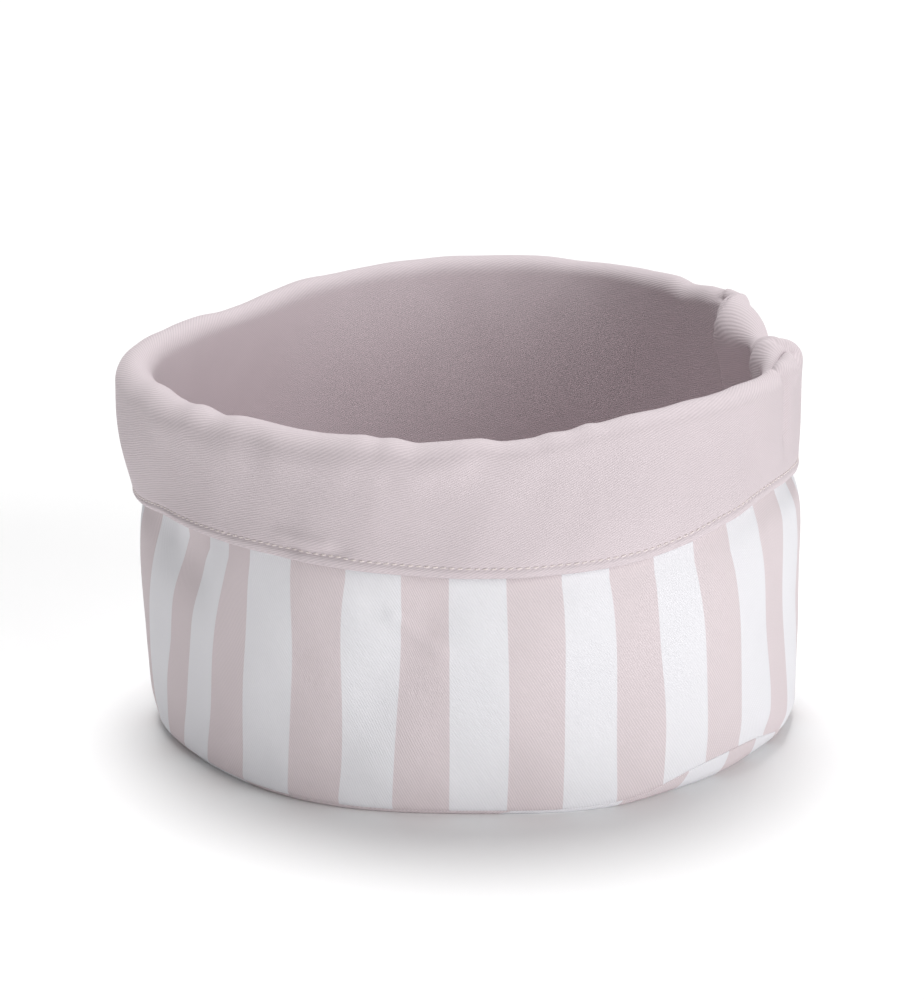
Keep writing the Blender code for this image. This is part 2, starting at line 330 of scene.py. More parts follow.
# %% Creases that bend on their way
CREASE_COLUMNS = ("rise", "left", "right", "push", "course")
CREASES = (
    # the pleat's edge at the back: it leans over the cloth behind it
    (1.8, 9.0, 1.8, 2.4, ((23.2, 114), (23.2, 136), (24.5, 145), (27.0, 151), (28.5, 156))),
    (-4.0, 3.5, 6.0, 0.0, ((28.0, 114), (28.0, 138), (31.5, 149))),
    # there is no roll over the pleat, so the rim's fold is pressed flat
    (-5.0, 8.0, 7.0, 0.0, ((28.0, 153), (28.6, 160))),
    # beside it the side leans back
    (-4.0, 7.0, 8.0, 0.0, ((17.0, 124), (16.0, 144))),
    # the crease across the fat end of the roll, and the lip beside it
    (-3.4, 2.6, 2.8, 0.0, ((333, 137), (341, 143), (348, 148), (354, 151), (355, 154), (352, 157))),
    (1.6, 3.0, 3.0, 0.0, ((339, 147), (345, 152), (347, 157))),
    (3.6, 2.4, 5.0, 0.0, ((351, 116), (350.5, 130), (351, 138), (354, 146))),
)


def crease_rise(bearing, along):
    """How far the creases move the cloth towards the lining's face, and how far round."""
    rise = np.zeros(np.broadcast(bearing, along).shape)
    push = np.zeros_like(rise)
    for crease in CREASES:
        row = dict(zip(CREASE_COLUMNS, crease))
        nearest = np.full_like(rise, np.inf)
        beside = np.zeros_like(rise)
        for (bearing_1, along_1), (bearing_2, along_2) in zip(row["course"], row["course"][1:]):
            x = ((bearing - bearing_1 + 180.0) % 360.0 - 180.0) * ARC
            y = along - along_1
            run, climb = (bearing_2 - bearing_1) * ARC, along_2 - along_1
            share = np.clip((x * run + y * climb) / (run**2 + climb**2), 0.0, 1.0)
            distance = np.hypot(x - share * run, y - share * climb)
            beside = np.where(distance < nearest, x * climb - y * run, beside)
            nearest = np.minimum(distance, nearest)
        breadth = np.where(beside < 0, row["left"], row["right"])
        rise += row["rise"] * np.exp(-((nearest / breadth) ** 2))
        push += row["push"] * np.exp(-((nearest / breadth) ** 2))
    return rise, push


# %% Slack that a pressed cloth keeps
SLACK_COLUMNS = ("waves_round", "length_along", "rise", "phase")
SLACK = (
    (5, 170.0, 0.35, 0.4),
    (9, -120.0, 0.25, 1.9),
    (14, 86.0, 0.20, 3.1),
    (23, -61.0, 0.12, 5.0),
    (37, 47.0, 0.07, 2.2),
)
SLACK_STARTS = 14.0


def slack_rise(bearing, along):
    """A slight unevenness all over, which fades out at the base seam."""
    total = np.zeros(np.broadcast(bearing, along).shape)
    for wave in SLACK:
        row = dict(zip(SLACK_COLUMNS, wave))
        turn = np.radians(bearing) * row["waves_round"]
        total += row["rise"] * np.sin(turn + 2 * math.pi * along / row["length_along"] + row["phase"])
    fade = np.clip(along / SLACK_STARTS, 0.0, 1.0)
    return total * fade**2 * (3 - 2 * fade)


# %% [markdown]
# ## Carrying the cloth round the bag
#
# Blender could thicken an open surface with a Solidify modifier. Here the edges matter: the hem
# is a rounded bead where lining and shell were sewn together and turned, and the base seam is
# a fine groove between two rounded edges. So each piece is drawn as one closed loop, up its
# visible face, round its edge and back down its hidden face, and that loop is carried round
# the bag. The hidden face gets fewer points, which is too few in the tight turn of the roll:
# there, out of sight, it cuts the corner and runs through the cloth beside it. The bag's own
# side seam is at the back, and there the weave starts and ends, as it does on the real bag.

# %% Bearings, closest together where the rim is creased
SIDE_SEAM = 100.0
SPAN_COLUMNS = ("start", "end", "pitch")
SPANS = ((SIDE_SEAM, 186, 1.6), (186, 342, 0.65), (342, 398, 0.42), (398, SIDE_SEAM + 360, 1.6))


def bearings():
    """Bearings of the columns of points, starting at the side seam at the back."""
    parts = []
    for span in SPANS:
        row = dict(zip(SPAN_COLUMNS, span))
        count = round((row["end"] - row["start"]) / row["pitch"])
        parts.append(row["start"] + (row["end"] - row["start"]) * np.arange(count) / count)
    return np.concatenate(parts)


BEARINGS = bearings()
print(len(BEARINGS), "columns of points round the bag")


# %% Points and normals of the doubled cloth's middle
def stand_up(radius, height, bearing):
    """Radius and height at each bearing as points (x, y, z)."""
    turn = np.radians(bearing)
    return np.stack([radius * np.cos(turn), radius * np.sin(turn), height], axis=-1)


def lining_normals(points):
    """Unit normals towards the lining's face, for rows that run up or out and round."""
    round_way = np.roll(points, -1, axis=1) - np.roll(points, 1, axis=1)
    normal = np.cross(np.gradient(points, axis=0), round_way)
    length = np.linalg.norm(normal, axis=-1, keepdims=True)
    return np.where(length > 1e-9, normal / np.maximum(length, 1e-9), [0.0, 0.0, 1.0])


def side_cloth(steps, first_t, last_t, crowding):
    """The side from base seam to hem: points, normals and mm along, row by row."""
    line, face, along = section_line(BEARINGS, steps, first_t, last_t, crowding)
    rise = fold_rise(FOLDS, BEARINGS, along) + fold_rise(FINE_FOLDS, BEARINGS, along)
    rise += slack_rise(BEARINGS, along)
    creased, push = crease_rise(BEARINGS, along)
    moved = line + face * (rise + creased)[:, None]
    points = stand_up(moved[:, 0], moved[:, 1], BEARINGS + push / ARC)
    return points, lining_normals(points), along


# %% A piece of cloth as one closed loop carried round
HIDDEN_EVERY = 6
EDGE_RADIUS = CLOTH / 2
EDGE_TURNS = (30, 60, 90, 120, 150)
HEM_RADIUS = 1.15
HEM_TURNS = (15, 30, 45, 60, 75, 90, 105, 120, 135, 150, 165, 180)


def edge_profile(radius, middle, turns):
    """Points (mm beyond the last row, mm off the cloth's middle) round a rounded edge."""
    angle = np.radians(turns)
    return np.stack([radius * np.sin(angle), middle + radius * np.cos(angle)], axis=1)


PLAIN_EDGE = edge_profile(EDGE_RADIUS, LAYER_GAP / 2 + EDGE_RADIUS, EDGE_TURNS)
HEM_EDGE = edge_profile(HEM_RADIUS, 0.0, HEM_TURNS)


def closed_loop(points, normals, end_edge, start_edge):
    """Rows of points up the visible face, round its end and back down the hidden face.

    Returns the rows, for each the row of the cloth that it lies on, and how far it is past it."""
    rows = len(points)
    visible = points + normals * (LAYER_GAP / 2 + CLOTH)
    hidden = points + normals * (LAYER_GAP / 2)
    back = list(range(rows - 1, 0, -HIDDEN_EVERY)) + [0]
    parts = [visible]
    source = list(range(rows))
    past = [0.0] * rows
    for edge, row, inner in ((end_edge, rows - 1, rows - 2), (start_edge, 0, 1)):
        if row == 0:
            parts.append(hidden[back])
            source += back
            past += [0.0] * len(back)
        if edge is None:
            continue
        way = points[row] - points[inner]
        way /= np.linalg.norm(way, axis=-1, keepdims=True)
        run = np.cumsum(np.hypot(*np.diff(edge, axis=0, prepend=edge[:1]).T))
        edge, run = (edge, run) if row else (edge[::-1], -run[::-1])
        parts.append(np.stack([points[row] + way * out + normals[row] * off for out, off in edge]))
        source += [row] * len(edge)
        past += list(run)
    return np.concatenate(parts), np.array(source), np.array(past)


def cloth_mesh(name, loop, flat, inward, closed=True):
    """A mesh from rows of points in mm. Flat gives each point's place on the flat cloth, with
    one more column than loop. Inward turns the faces round for the lining."""
    rows, columns = loop.shape[:2]
    spans = rows if closed else rows - 1
    j, i = np.meshgrid(np.arange(spans), np.arange(columns), indexing="ij")
    j_next, i_next = (j + 1) % rows, (i + 1) % columns
    corners = [(j, i, i), (j, i_next, i + 1), (j_next, i_next, i + 1), (j_next, i, i)]
    if inward:
        corners.reverse()
    faces = np.stack([row * columns + column for row, column, _ in corners], axis=-1)
    places = np.stack([flat[row, place] for row, _, place in corners], axis=-2)
    mesh = bpy.data.meshes.new(name)
    mesh.from_pydata((loop.reshape(-1, 3) * MM).tolist(), [], faces.reshape(-1, 4).tolist())
    layer = mesh.uv_layers.new(name="cloth")
    layer.data.foreach_set("uv", (places * MM).ravel())
    bm = bmesh.new()
    bm.from_mesh(mesh)
    bmesh.ops.remove_doubles(bm, verts=bm.verts, dist=1e-6)
    bm.to_mesh(mesh)
    bm.free()
    mesh.shade_smooth()
    return mesh


def add_piece(name, mesh, node):
    """Adds a piece that rides on the bag and takes a node's place."""
    obj = bpy.data.objects.new(name, mesh)
    bpy.context.scene.collection.objects.link(obj)
    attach(obj, "root")
    if node:
        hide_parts(node)
    triangles = sum(len(face.vertices) - 2 for face in mesh.polygons)
    print(name, triangles, "triangles")
    return obj


# %% [markdown]
# ## The stripes' course
#
# The stripes are 20 mm wide, 40 of them round the bag, and they are printed or woven straight.
# They look bent in the picture because the cloth is pulled in at the base seam and pushed
# about under the cuff. So we don't bend the colours in the material. We store each point's
# place on the flat cloth in a UV map, in metres, and let the cloth's shifts be in there.

# %% Where each point lies on the flat striped cloth
STRIPES = 40
STRIPE = 2 * math.pi * MEAN_RADIUS / STRIPES
FIRST_EDGE = 195.3
SHIFT_HEIGHTS = (5.0, 30.0, 60.0, 92.0)
# each row: bearing, then the shift in degrees at each of those heights
SHIFTS = (
    (20, 1.0, 0.5, 0.0, 0.0),
    (90, 0.0, 0.0, 0.0, 0.0),
    (170, -1.0, 0.0, 0.0, 1.0),
    (195, -4.2, -2.8, 1.2, 2.5),
    (205, -7.8, -2.2, 2.4, 6.5),
    (213, -8.0, -4.3, 0.3, 8.2),
    (221, -7.2, -5.2, -1.8, 6.8),
    (226, -6.0, -4.8, -2.6, 2.8),
    (231, -4.9, -4.0, -3.0, -1.3),
    (239, -4.1, -3.0, -1.6, -1.3),
    (248, -3.1, -2.0, -1.6, -0.4),
    (258, -2.3, -1.4, -0.4, 0.2),
    (266, -1.2, -1.0, -0.9, -0.9),
    (276, 0.3, 0.4, 0.1, -0.4),
    (286, 1.3, 1.1, 0.7, -0.3),
    (295, 2.3, 1.8, 1.0, -1.2),
    (304, 2.3, 2.3, 0.6, -1.5),
    (314, 3.4, 2.7, 1.3, -2.1),
    (322, 3.8, 2.8, 1.3, -2.6),
    (332, 4.0, 3.2, 1.2, -1.8),
    (341, 2.6, 2.0, -0.3, -1.6),
    (350, 3.0, 2.5, 0.6, -1.0),
)


def cloth_shift(bearing, height):
    """Degrees by which a thread of the striped side has moved round, by bearing and height."""
    known = [row[0] for row in SHIFTS]
    at = [np.interp(bearing, known, [row[1 + k] for row in SHIFTS], period=360.0) for k in range(4)]
    z = np.clip(height, SHIFT_HEIGHTS[0], SHIFT_HEIGHTS[-1])
    total = 0.0
    for k, here in enumerate(SHIFT_HEIGHTS):
        weight = 1.0
        for other in SHIFT_HEIGHTS:
            weight = weight * ((z - other) / (here - other) if other != here else 1.0)
        total = total + at[k] * weight
    return total


EVEN_REACH = 12.0
EVEN_SAMPLES = 13


def even_out(along):
    """Distances along the cloth without the rim's waves, which don't bend the weave below them."""
    offsets = np.linspace(-EVEN_REACH, EVEN_REACH, EVEN_SAMPLES)
    nearby = [
        [np.interp(BEARINGS + off, BEARINGS, row, period=360.0) for row in along]
        for off in offsets
    ]
    return np.mean(nearby, axis=0)


def flat_side(loop, source, past, along, striped):
    """Each point's place on the flat cloth, in mm round from the stripes' start and up."""
    bearing = np.append(BEARINGS, BEARINGS[0] + 360.0)
    height = np.concatenate([loop[..., 2], loop[:, :1, 2]], axis=1)
    up = even_out(along)[source] + past[:, None]
    up = np.concatenate([up, up[:, :1]], axis=1)
    moved = cloth_shift(bearing[None], height) if striped else 0.0
    around = (bearing[None] - moved - FIRST_EDGE) * ARC + 0 * up
    return np.stack([around, up], axis=-1)


# %% The side of the shell and the side of the lining
# points between one control point of the section and the next, seam to hem
SHELL_STEPS = (2, 9, 26, 22, 13, 12, 8, 2, 2, 2, 2, 2, 2, 8, 10)
LINING_STEPS = (2, 6, 16, 16, 10, 14, 15, 4, 4, 4, 4, 4, 4, 16, 28)
START_T = 0.25
HEM_T = 0.955
SHELL_END_T = 0.93
HEM_CROWDING = 1.6

shell_points, shell_up, shell_along = side_cloth(SHELL_STEPS, START_T, SHELL_END_T, 1.0)
loop, source, past = closed_loop(shell_points, -shell_up, PLAIN_EDGE, PLAIN_EDGE)
flat = flat_side(loop, source, past, shell_along, True)
striped_side = add_piece(
    "striped_side", cloth_mesh("striped_side", loop, flat, False), "shell_side"
)

lining_points, lining_up, lining_along = side_cloth(LINING_STEPS, START_T, HEM_T, HEM_CROWDING)
print("hem at", round(float(lining_along[-1].mean()), 1), "mm from the base seam")

# %% [markdown]
# ## The sewn hem
#
# One row of topstitching runs about 4 mm above the hem and a little closer at the left. It
# pulls the layers together, so the cloth dips along it and swells in the band below. There is
# a stitch every 3 mm, each a real short thread, because at this size each one shows.

# %% The cloth's dip along the stitches and its swelling below
STITCH_PITCH = 3.0
# each row: bearing, distance above the hem
INSETS = ((0, 4.0), (60, 4.0), (150, 3.8), (190, 3.2), (212, 3.5), (232, 3.9), (250, 4.0))
DIP = 0.4
DIP_BREADTH = 0.6
SWELL = 0.4
SWELL_MIDDLE = 0.6
SWELL_BREADTH = 0.33


def stitch_inset(bearing):
    """Distance of the stitches above the hem."""
    return np.interp(bearing, [row[0] for row in INSETS], [row[1] for row in INSETS], period=360.0)


def hem_relief(bearing, along):
    """How far the lining's face moves out near the stitches."""
    hem = along[-1:] + HEM_RADIUS
    above = hem - along
    inset = stitch_inset(bearing)
    dip = np.exp(-(((above - inset) / DIP_BREADTH) ** 2))
    band = np.exp(-(((above - inset * SWELL_MIDDLE) / (inset * SWELL_BREADTH)) ** 2))
    return SWELL * band - DIP * dip


relief = hem_relief(BEARINGS[None], lining_along)
loop, source, past = closed_loop(lining_points, lining_up, HEM_EDGE, PLAIN_EDGE)
rows = len(relief)
loop[:rows] += lining_up * relief[..., None]
bead = np.clip(np.cos(np.radians(HEM_TURNS)), 0.0, 1.0)[:, None] * relief[-1]
loop[rows : rows + len(bead)] += lining_up[-1] * bead[..., None]
flat = flat_side(loop, source, past, lining_along, False)
lining_side = add_piece(
    "lining_and_cuff", cloth_mesh("lining_and_cuff", loop, flat, True), "lining_side"
)

# %% The topstitches
THREAD_RADIUS = 0.28
STITCH_LENGTH = 2.0
STITCH_SKEW = 0.12
THREAD_SIDES = 8
THREAD_PLACES = (-1.0, -0.8, -0.45, 0.0, 0.45, 0.8, 1.0)
THREAD_DEPTHS = (-0.22, 0.02, 0.14, 0.18, 0.14, 0.02, -0.22)
THREAD_WIDTHS = (0.55, 0.85, 1.0, 1.05, 1.0, 0.85, 0.55)


def on_face(points, bearing, above):
    """A point on the lining's visible face above the hem, and the outward normal there."""
    turns = (bearing - BEARINGS[0]) % 360.0 + BEARINGS[0]
    right = int(np.searchsorted(BEARINGS, turns)) % len(BEARINGS)
    left = right - 1
    start = BEARINGS[left] if left >= 0 else BEARINGS[-1] - 360.0
    share = ((turns - start) % 360.0) / ((BEARINGS[right] - start) % 360.0)
    found = []
    for column in (left, right):
        here = lining_along[-1, column] + HEM_RADIUS - lining_along[:, column]
        row = int(np.searchsorted(-here, -above)) - 1
        t = (here[row] - above) / (here[row] - here[row + 1])
        face = points[:, column]
        found.append((face[row] * (1 - t) + face[row + 1] * t, lining_up[row, column]))
    (point_1, up_1), (point_2, up_2) = found
    normal = up_1 * (1 - share) + up_2 * share
    return point_1 * (1 - share) + point_2 * share, normal / np.linalg.norm(normal)


def add_stitch(bm, layer, spine, normals):
    """One stitch: a short thread along its spine, with both ends pulled into the cloth."""
    rings = []
    ways = np.gradient(spine, axis=0)
    for point, normal, way, width in zip(spine, normals, ways, THREAD_WIDTHS):
        side = np.cross(normal, way)
        side /= np.linalg.norm(side)
        rise = np.cross(way, side)
        rise /= np.linalg.norm(rise)
        ring = []
        for k in range(THREAD_SIDES):
            turn = 2 * math.pi * k / THREAD_SIDES
            off = (side * math.cos(turn) + rise * math.sin(turn)) * THREAD_RADIUS * width
            ring.append(bm.verts.new((point + off) * MM))
        rings.append(ring)
    for j in range(len(rings) - 1):
        for k in range(THREAD_SIDES):
            n = (k + 1) % THREAD_SIDES
            face = bm.faces.new((rings[j][k], rings[j + 1][k], rings[j + 1][n], rings[j][n]))
            for corner, (u, v) in zip(face.loops, ((j, k), (j + 1, k), (j + 1, k + 1), (j, k + 1))):
                corner[layer].uv = (u / (len(rings) - 1), v / THREAD_SIDES)
    bm.faces.new(rings[0])
    bm.faces.new(rings[-1][::-1])


surface = lining_points + lining_up * (relief + LAYER_GAP / 2 + CLOTH)[..., None]
hem_length = float(np.linalg.norm(np.roll(surface[-1], -1, axis=0) - surface[-1], axis=1).sum())
stitches = round(hem_length / STITCH_PITCH)
bm = bmesh.new()
uv_layer = bm.loops.layers.uv.new("cloth")
half = STITCH_LENGTH / STITCH_PITCH * 180.0 / stitches
for number in range(stitches):
    middle = 360.0 * number / stitches
    spine, normals = [], []
    for place, depth in zip(THREAD_PLACES, THREAD_DEPTHS):
        bearing = middle + place * half
        # a stitch lies a little askew, because the next hole is never quite in line
        above = float(stitch_inset(bearing % 360.0)) + STITCH_SKEW * place
        point, normal = on_face(surface, bearing, above)
        spine.append(point + normal * depth)
        normals.append(normal)
    add_stitch(bm, uv_layer, np.array(spine), normals)
bmesh.ops.recalc_face_normals(bm, faces=bm.faces)
thread_mesh = bpy.data.meshes.new("hem_topstitches")
bm.to_mesh(thread_mesh)
bm.free()
thread_mesh.shade_smooth()
topstitches = add_piece("hem_topstitches", thread_mesh, None)
print(stitches, "stitches on a hem of", round(hem_length), "mm")

# %% [markdown]
# ## The round base
#
# The base is cut as a flat disc. Where the side's seam lifts off the table, at the right of the
# front, the disc's rim turns up to it and a band of it shows. Its stripes run across the bag,
# nearly from left to right.

# %% The base of the shell and the base of the lining
FLAT_RINGS, TURN_RINGS, EDGE_RINGS = 22, 10, 3
BASE_GRAIN = 343.0
BASE_EDGE = -64.9


def base_cloth():
    """The base from its centre to the seam: points, normals and mm out, row by row."""
    edge, slope = foot(BEARINGS, -1)
    end = edge - slope * SEAM_STRAIGHT * START_T
    top = edge - slope * SEAM_STRAIGHT
    corner_r = top[0] - (top[1] - HALF_BAG_CLOTH) * slope[0] / slope[1]
    flat_r = corner_r - BASE_TURN
    line = [(flat_r * k / FLAT_RINGS, np.full_like(flat_r, HALF_BAG_CLOTH)) for k in range(FLAT_RINGS)]
    for t in np.arange(TURN_RINGS) / TURN_RINGS:
        r = flat_r * (1 - t) ** 2 + 2 * corner_r * t * (1 - t) + top[0] * t**2
        line.append((r, HALF_BAG_CLOTH * (1 - t**2) + top[1] * t**2))
    for t in np.arange(EDGE_RINGS + 1) / EDGE_RINGS:
        line.append((top[0] + (end[0] - top[0]) * t, top[1] + (end[1] - top[1]) * t))
    line = np.array([np.array(pair) for pair in line])
    points = stand_up(line[:, 0], line[:, 1], BEARINGS)
    out = np.concatenate([
        np.zeros((1, len(BEARINGS))),
        np.cumsum(np.linalg.norm(np.diff(line, axis=0), axis=1), axis=0),
    ])
    return points, lining_normals(points), out


def flat_base(source, past, out):
    """Each point's place on the flat disc, in mm across its stripes and along them."""
    bearing = np.radians(np.append(BEARINGS, BEARINGS[0] + 360.0) - BASE_GRAIN)
    radius = out[source] + past[:, None]
    radius = np.concatenate([radius, radius[:, :1]], axis=1)
    across, grain = radius * np.sin(bearing), radius * np.cos(bearing)
    return np.stack([across - BASE_EDGE, grain], axis=-1)


base_points, base_up, base_out = base_cloth()
for name, node, slot, face in (
    ("striped_base", "shell_base", "striped_cotton", -1),
    ("lining_base_disc", "lining_base", "plain_cotton", 1),
):
    loop, source, past = closed_loop(base_points, base_up * face, PLAIN_EDGE, None)
    mesh = cloth_mesh(name, loop, flat_base(source, past, base_out), face == 1, closed=False)
    add_piece(name, mesh, node)
striped_base = bpy.data.objects["striped_base"]
lining_base = bpy.data.objects["lining_base_disc"]

# %% [markdown]
# ## The cotton
#
# Both cloths are steep cotton twill: each weft thread steps over by one, which draws fine
# diagonal lines, here 0.87 mm apart. The striped cloth has its lines running down to the
# right at 62 degrees. The lining was cut across the grain, so on the cuff they rise at about
# 21 degrees. The lines are a bump, and between them the colour is darkened as painted shade in
# the grooves, in the pink stripes partly also by the white weft's own colour. Cotton is matt,
# with a faint bloom from its fibre ends, which the sheen gives.

# %% Helpers for colours and nodes
def linear(colour):
    """An sRGB hex colour as linear red, green, blue and alpha."""
    channels = [int(colour[i : i + 2], 16) / 255 for i in (1, 3, 5)]
    return tuple(c / 12.92 if c <= 0.04045 else ((c + 0.055) / 1.055) ** 2.4 for c in channels) + (1.0,)


def add_node(tree, kind, settings=None, inputs=None):
    """Adds a node, sets its properties, and gives each input a value or a socket to follow."""
    node = tree.nodes.new(kind)
    for name, value in (settings or {}).items():
        setattr(node, name, value)
    for name, value in (inputs or {}).items():
        if isinstance(value, bpy.types.NodeSocket):
            tree.links.new(value, node.inputs[name])
        else:
            node.inputs[name].default_value = value
    return node


def new_material(name, roughness, sheen, sheen_roughness, ior):
    """An empty material with a Principled shader whose all-over values are set on its sockets."""
    material = bpy.data.materials.new(name)
    material.use_nodes = True
    shader = material.node_tree.nodes["Principled BSDF"]
    shader.inputs["Roughness"].default_value = roughness
    shader.inputs["Metallic"].default_value = 0.0
    shader.inputs["IOR"].default_value = ior
    shader.inputs["Sheen Weight"].default_value = sheen
    shader.inputs["Sheen Roughness"].default_value = sheen_roughness
    return material, shader


# %% The weave that both cloths share
TWILL_PITCH = 0.87
COTTON_IOR = 1.53
COTTON_ROUGHNESS = 0.9
COTTON_SHEEN = 0.04
COTTON_SHEEN_ROUGHNESS = 0.5
UNEVEN_SIZE = 4.0
UNEVEN_SHIFT = 1.5
FIBRE_SIZE = 0.35
FIBRE_WEIGHT = 0.4
DYE_PATCH = 30.0
DYE_DARKEST, DYE_LIGHTEST = 0.985, 1.015


def twill(tree, line_angle):
    """The twill's height, 0 to 1, and the coordinates that it is drawn in.

    Line_angle is the direction of the diagonal lines on the flat cloth, in degrees."""
    place = add_node(tree, "ShaderNodeUVMap", {"uv_map": "cloth"})
    split = add_node(tree, "ShaderNodeSeparateXYZ", inputs={0: place.outputs["UV"]})
    angle = math.radians(line_angle + 90.0)
    turns = 2 * math.pi / (TWILL_PITCH * MM)
    across = add_node(
        tree, "ShaderNodeMath", {"operation": "MULTIPLY"},
        {0: split.outputs["X"], 1: math.cos(angle) * turns},
    )
    phase = add_node(
        tree, "ShaderNodeMath", {"operation": "MULTIPLY_ADD"},
        {0: split.outputs["Y"], 1: math.sin(angle) * turns, 2: across.outputs[0]},
    )
    uneven = add_node(
        tree, "ShaderNodeTexNoise", {"noise_dimensions": "2D"},
        {
            "Vector": place.outputs["UV"], "Scale": 1 / (UNEVEN_SIZE * MM),
            "Detail": 2.0, "Roughness": 0.6,
        },
    )
    bent = add_node(
        tree, "ShaderNodeMath", {"operation": "MULTIPLY_ADD"},
        {0: uneven.outputs[0], 1: UNEVEN_SHIFT, 2: phase.outputs[0]},
    )
    wave = add_node(tree, "ShaderNodeMath", {"operation": "SINE"}, {0: bent.outputs[0]})
    fibre = add_node(
        tree, "ShaderNodeTexNoise", {"noise_dimensions": "2D"},
        {
            "Vector": place.outputs["UV"], "Scale": 1 / (FIBRE_SIZE * MM),
            "Detail": 2.0, "Roughness": 0.6,
        },
    )
    height = add_node(
        tree, "ShaderNodeMapRange", inputs={"Value": wave.outputs[0], "From Min": -1.0, "From Max": 1.0},
    )
    rough_height = add_node(
        tree, "ShaderNodeMath", {"operation": "MULTIPLY_ADD"},
        {0: fibre.outputs[0], 1: FIBRE_WEIGHT, 2: height.outputs[0]},
    )
    return place, split, height, rough_height


def finish_cloth(tree, shader, colour, place, height, rough_height, weft_colour_and_groove_shade, depth):
    """Shades the colour with painted shade in the weave's grooves and by slow changes of dye, and
    adds the weave's bump.

    Between two diagonals the cloth is left as light as the given shade, from 0 to 1: painted
    shade in the grooves, and in the pink stripes partly the white weft's own colour."""
    dye = add_node(
        tree, "ShaderNodeTexNoise", {"noise_dimensions": "2D"},
        {"Vector": place.outputs["UV"], "Scale": 1 / (DYE_PATCH * MM), "Detail": 3.0},
    )
    by_dye = add_node(
        tree, "ShaderNodeMapRange",
        inputs={"Value": dye.outputs[0], "To Min": DYE_DARKEST, "To Max": DYE_LIGHTEST},
    )
    # painted shade: the colour is darker between the diagonals, in the weave's grooves
    by_weft_and_groove_shade = add_node(
        tree, "ShaderNodeMapRange",
        inputs={"Value": height.outputs[0], "To Min": weft_colour_and_groove_shade, "To Max": 1.0},
    )
    shade = add_node(
        tree, "ShaderNodeMath", {"operation": "MULTIPLY"},
        {0: by_dye.outputs[0], 1: by_weft_and_groove_shade.outputs[0]},
    )
    shaded = add_node(
        tree, "ShaderNodeVectorMath", {"operation": "SCALE"},
        {0: colour, "Scale": shade.outputs[0]},
    )
    tree.links.new(shaded.outputs[0], shader.inputs["Base Color"])
    bump = add_node(
        tree, "ShaderNodeBump",
        inputs={"Strength": 1.0, "Distance": depth * MM, "Height": rough_height.outputs[0]},
    )
    tree.links.new(bump.outputs[0], shader.inputs["Normal"])


# %% Striped cotton twill
WHITE_YARN = "#E6E5E9"
PINK_YARN = "#DDD1D4"
STRIPED_TWILL_LINES = -62.0
EDGE_BLUR = 0.35
# how light each stripe is left between the diagonals: painted shade in the weave's grooves, in the pink
# stripes partly also the white weft's own colour
PINK_WEFT_AND_GROOVE_SHADE, WHITE_GROOVE_SHADE = 0.86, 0.95
STRIPED_RELIEF = 0.06
striped_cotton, shader = new_material(
    "striped_cotton_twill", COTTON_ROUGHNESS, COTTON_SHEEN, COTTON_SHEEN_ROUGHNESS, COTTON_IOR
)
tree = striped_cotton.node_tree
place, split, height, rough_height = twill(tree, STRIPED_TWILL_LINES)
turn = add_node(
    tree, "ShaderNodeMath", {"operation": "MULTIPLY"}, {0: split.outputs["X"], 1: math.pi / (STRIPE * MM)},
)
wave = add_node(tree, "ShaderNodeMath", {"operation": "SINE"}, {0: turn.outputs[0]})
blur = math.sin(math.pi * EDGE_BLUR / 2 / STRIPE)
whiteness = add_node(
    tree, "ShaderNodeMapRange", {"interpolation_type": "SMOOTHSTEP"},
    {"Value": wave.outputs[0], "From Min": -blur, "From Max": blur},
)
stripes = add_node(
    tree, "ShaderNodeMix", {"data_type": "RGBA"},
    {"Factor": whiteness.outputs[0], "A": linear(PINK_YARN), "B": linear(WHITE_YARN)},
)
# in the pink stripes a white weft shows between the pink warp threads, so their lines are clearer
# the rest of the darkening between the diagonals, in both stripes, is painted shade in the weave's grooves
weft_colour_and_groove_shade = add_node(
    tree, "ShaderNodeMapRange",
    inputs={"Value": whiteness.outputs[0], "To Min": PINK_WEFT_AND_GROOVE_SHADE, "To Max": WHITE_GROOVE_SHADE},
)
finish_cloth(
    tree, shader, stripes.outputs["Result"], place, height, rough_height, weft_colour_and_groove_shade.outputs[0], STRIPED_RELIEF
)
for piece in (striped_side, striped_base):
    piece.data.materials.append(striped_cotton)

# %% Plain pink cotton twill
PINK_CLOTH = "#D7CBCF"
LINING_TWILL_LINES = 159.0
# the lining is one colour, so its darkening between the diagonals is all painted shade in the weave's
# grooves
LINING_GROOVE_SHADE = 0.87
LINING_RELIEF = 0.065
plain_cotton, shader = new_material(
    "plain_cotton_twill", COTTON_ROUGHNESS, COTTON_SHEEN, COTTON_SHEEN_ROUGHNESS, COTTON_IOR
)
tree = plain_cotton.node_tree
place, _, height, rough_height = twill(tree, LINING_TWILL_LINES)
finish_cloth(
    tree, shader, linear(PINK_CLOTH)[:3], place, height, rough_height, LINING_GROOVE_SHADE, LINING_RELIEF
)
for piece in (lining_side, lining_base):
    piece.data.materials.append(plain_cotton)

# %% Sewing thread
THREAD = "#F1E6E3"
THREAD_TWISTS = 5.0
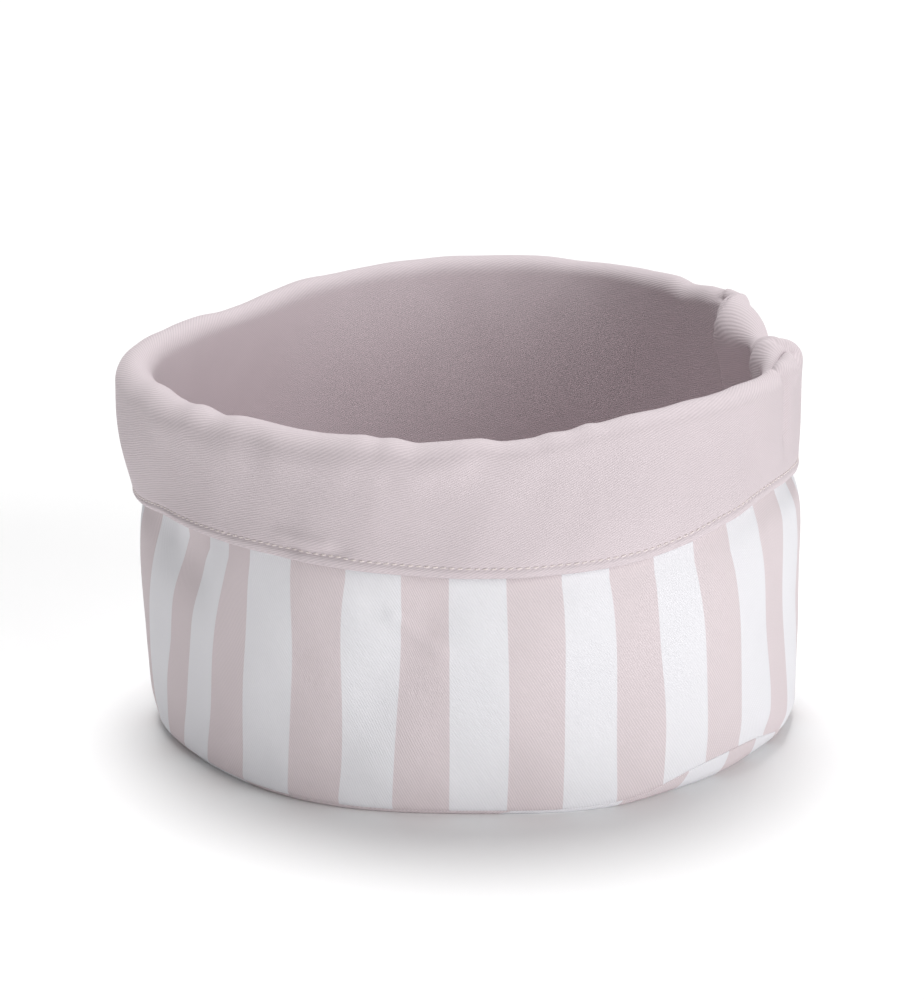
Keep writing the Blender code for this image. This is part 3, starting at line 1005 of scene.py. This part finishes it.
# how light the thread is left between its plies: painted shade in their grooves
THREAD_PLY_SHADE = 0.9
THREAD_RELIEF = 0.05
thread, shader = new_material(
    "polyester_sewing_thread", roughness=0.6, sheen=0.2, sheen_roughness=0.4, ior=1.57
)
tree = thread.node_tree
place = add_node(tree, "ShaderNodeUVMap", {"uv_map": "cloth"})
split = add_node(tree, "ShaderNodeSeparateXYZ", inputs={0: place.outputs["UV"]})
along_thread = add_node(
    tree, "ShaderNodeMath", {"operation": "MULTIPLY"}, {0: split.outputs["X"], 1: THREAD_TWISTS},
)
twist = add_node(
    tree, "ShaderNodeMath", {"operation": "ADD"}, {0: along_thread.outputs[0], 1: split.outputs["Y"]},
)
turn = add_node(tree, "ShaderNodeMath", {"operation": "MULTIPLY"}, {0: twist.outputs[0], 1: 2 * math.pi})
ply = add_node(tree, "ShaderNodeMath", {"operation": "SINE"}, {0: turn.outputs[0]})
# painted shade: the colour darkens between the plies, in their grooves
bright = add_node(
    tree, "ShaderNodeMapRange",
    inputs={"Value": ply.outputs[0], "From Min": -1.0, "To Min": THREAD_PLY_SHADE, "To Max": 1.0},
)
colour = add_node(
    tree, "ShaderNodeVectorMath", {"operation": "SCALE"},
    {0: linear(THREAD)[:3], "Scale": bright.outputs[0]},
)
tree.links.new(colour.outputs[0], shader.inputs["Base Color"])
bump = add_node(
    tree, "ShaderNodeBump",
    inputs={"Strength": 0.8, "Distance": THREAD_RELIEF * MM, "Height": ply.outputs[0]},
)
tree.links.new(bump.outputs[0], shader.inputs["Normal"])
topstitches.data.materials.append(thread)

# %% [markdown]
# ## Floor and light
#
# The picture has a bright, nearly white floor. Big softboxes light the bag: a strong one low at
# the front right and a weak one low at the front left model its sides, and two above and behind
# it whiten the floor and leave a soft pool of shadow in front. Here each softbox is a sun with a
# wide angle, which keeps the floor even however far it reaches. A pale surround fills the rest.

# %% The floor
FLOOR_SIZE = 40.0
FLOOR_PAPER = "#FBFBFB"
floor_mesh = bpy.data.meshes.new("studio_floor")
bm = bmesh.new()
bmesh.ops.create_grid(bm, x_segments=1, y_segments=1, size=FLOOR_SIZE / 2)
bm.to_mesh(floor_mesh)
bm.free()
floor = bpy.data.objects.new("studio_floor", floor_mesh)
bpy.context.scene.collection.objects.link(floor)
floor_material, shader = new_material(
    "studio_paper", roughness=0.95, sheen=0.0, sheen_roughness=0.5, ior=1.45
)
shader.inputs["Base Color"].default_value = linear(FLOOR_PAPER)
floor_mesh.materials.append(floor_material)

# %% The light
LIGHT_COLUMNS = ("name", "strength", "bearing", "height", "angle")
LIGHTS = (
    ("softbox_front_right", 1.95, 318, 15, 45),
    ("softbox_front_left", 0.36, 250, 8, 60),
    ("softbox_above", 2.12, 101, 76, 28),
    ("softbox_back", 0.57, 101, 50, 50),
)
SURROUND = 0.16

for light in LIGHTS:
    row = dict(zip(LIGHT_COLUMNS, light))
    sun_data = bpy.data.lights.new(row["name"], "SUN")
    sun_data.energy = row["strength"]
    sun_data.angle = math.radians(row["angle"])
    sun = bpy.data.objects.new(row["name"], sun_data)
    sun.rotation_euler = (0.0, math.radians(90.0 - row["height"]), math.radians(row["bearing"]))
    bpy.context.scene.collection.objects.link(sun)

world = bpy.data.worlds.new("studio_surround")
world.use_nodes = True
world.node_tree.nodes["Background"].inputs["Color"].default_value = (1.0, 1.0, 1.0, 1.0)
world.node_tree.nodes["Background"].inputs["Strength"].default_value = SURROUND
bpy.context.scene.world = world
bpy.context.scene.view_settings.view_transform = "Standard"
print("light set")
